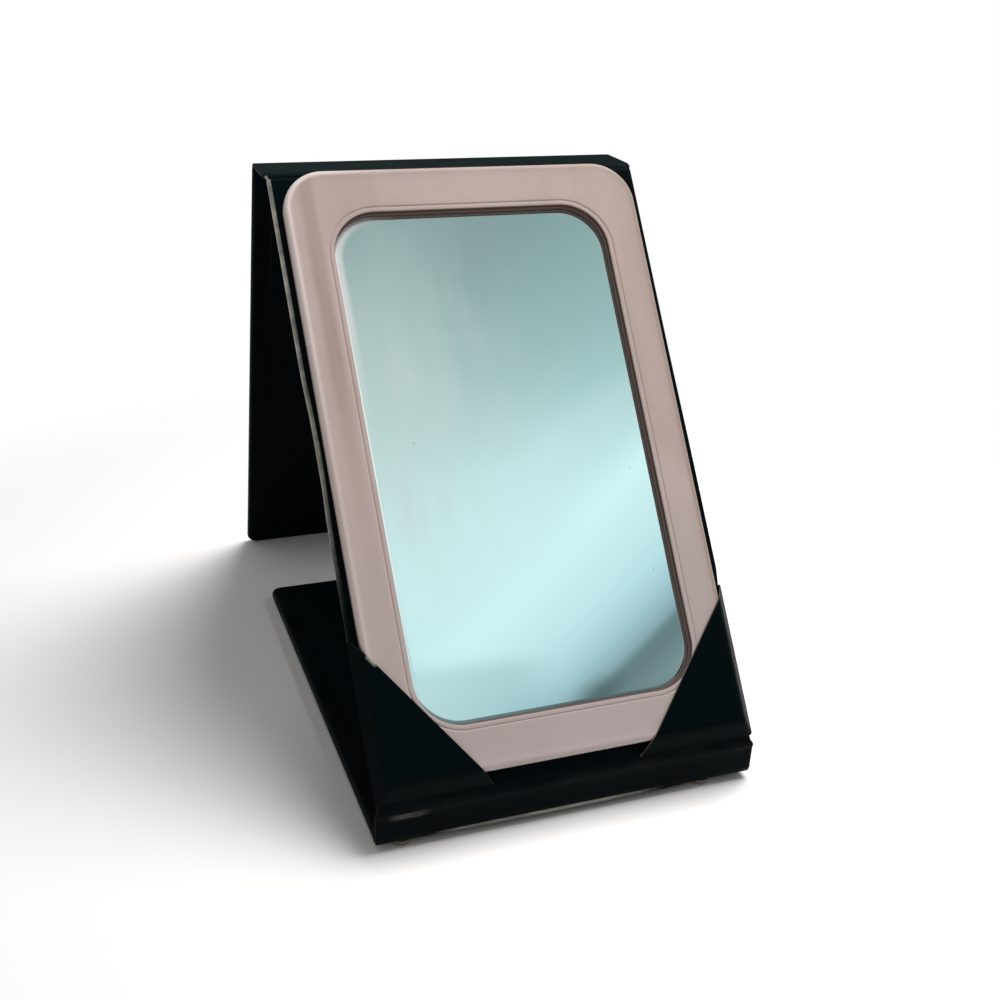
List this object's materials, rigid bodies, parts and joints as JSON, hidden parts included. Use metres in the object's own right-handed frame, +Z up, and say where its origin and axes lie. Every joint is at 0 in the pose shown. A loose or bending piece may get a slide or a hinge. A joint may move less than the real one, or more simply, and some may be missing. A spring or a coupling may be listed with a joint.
{
  "type": "folding vanity mirror",
  "caption": "Leather-cased folding mirror that stands as a tent: base, leaning mirror panel with a moulded frame, and rear panel, joined by creased spines.",
  "frame": {"origin": "on the table, under the middle of the open stand's bounding box", "axes": "+X to the right of the person who looks into the mirror, +Y away from them, +Z up; the creases run along X"},
  "size_m": [0.13, 0.2613, 0.1855],
  "materials": {
    "leather": "fine-grained black synthetic leather, satin",
    "inner_sheet": "smooth black synthetic leather, satin",
    "board": "pressed grey fibre board, uncoated",
    "frame_plastic": "moulded plastic, dusty pink, soft satin sheen",
    "mirror": "silvered glass, polished",
    "back_plate": "flat plastic sheet, matt",
    "tape": "double-sided foam tape, white",
    "bumper": "clear polyurethane, aged to amber",
    "steel_plate": "thin zinc-plated steel",
    "magnet": "nickel-plated disc magnet"
  },
  "bodies": {
    "base": {"base_leather": "leather", "base_inner_sheet": "inner_sheet", "base_board": "board", "closing_plates": "steel_plate", "base_feet": "bumper"},
    "bottom_spine": {"bottom_spine_leather": "leather", "bottom_spine_inner_sheet": "inner_sheet", "bottom_spine_stiffener": "board"},
    "mirror_panel": {"mirror_panel_leather": "leather", "mirror_panel_inner_sheet": "inner_sheet", "mirror_panel_board": "board", "mirror_frame": "frame_plastic", "mirror_glass": "mirror", "frame_back_plate": "back_plate", "mounting_tape": "tape", "left_corner_pocket": "leather", "right_corner_pocket": "leather"},
    "top_spine": {"top_spine_leather": "leather", "top_spine_inner_sheet": "inner_sheet", "top_spine_stiffener": "board"},
    "rear_panel": {"rear_panel_leather": "leather", "rear_panel_inner_sheet": "inner_sheet", "rear_panel_board": "board", "closing_magnets": "magnet"}
  },
  "joints": [
    {"name": "front_crease", "type": "hinge", "parent": "base", "child": "bottom_spine", "pos_m": [0, -0.12871, 0.0037], "axis": [1, 0, 0], "range_deg": [-4, 169]},
    {"name": "knee_crease", "type": "hinge", "parent": "bottom_spine", "child": "mirror_panel", "pos_m": [0, -0.12949, 0.01487], "axis": [1, 0, 0], "range_deg": [-5, 136.8]},
    {"name": "top_front_crease", "type": "hinge", "parent": "mirror_panel", "child": "top_spine", "pos_m": [0, -0.00782, 0.18357], "axis": [1, 0, 0], "range_deg": [-4, 141.2]},
    {"name": "top_rear_crease", "type": "hinge", "parent": "top_spine", "child": "rear_panel", "pos_m": [0, 0.01315, 0.18467], "axis": [1, 0, 0], "range_deg": [-6, 151.7]}
  ]
}
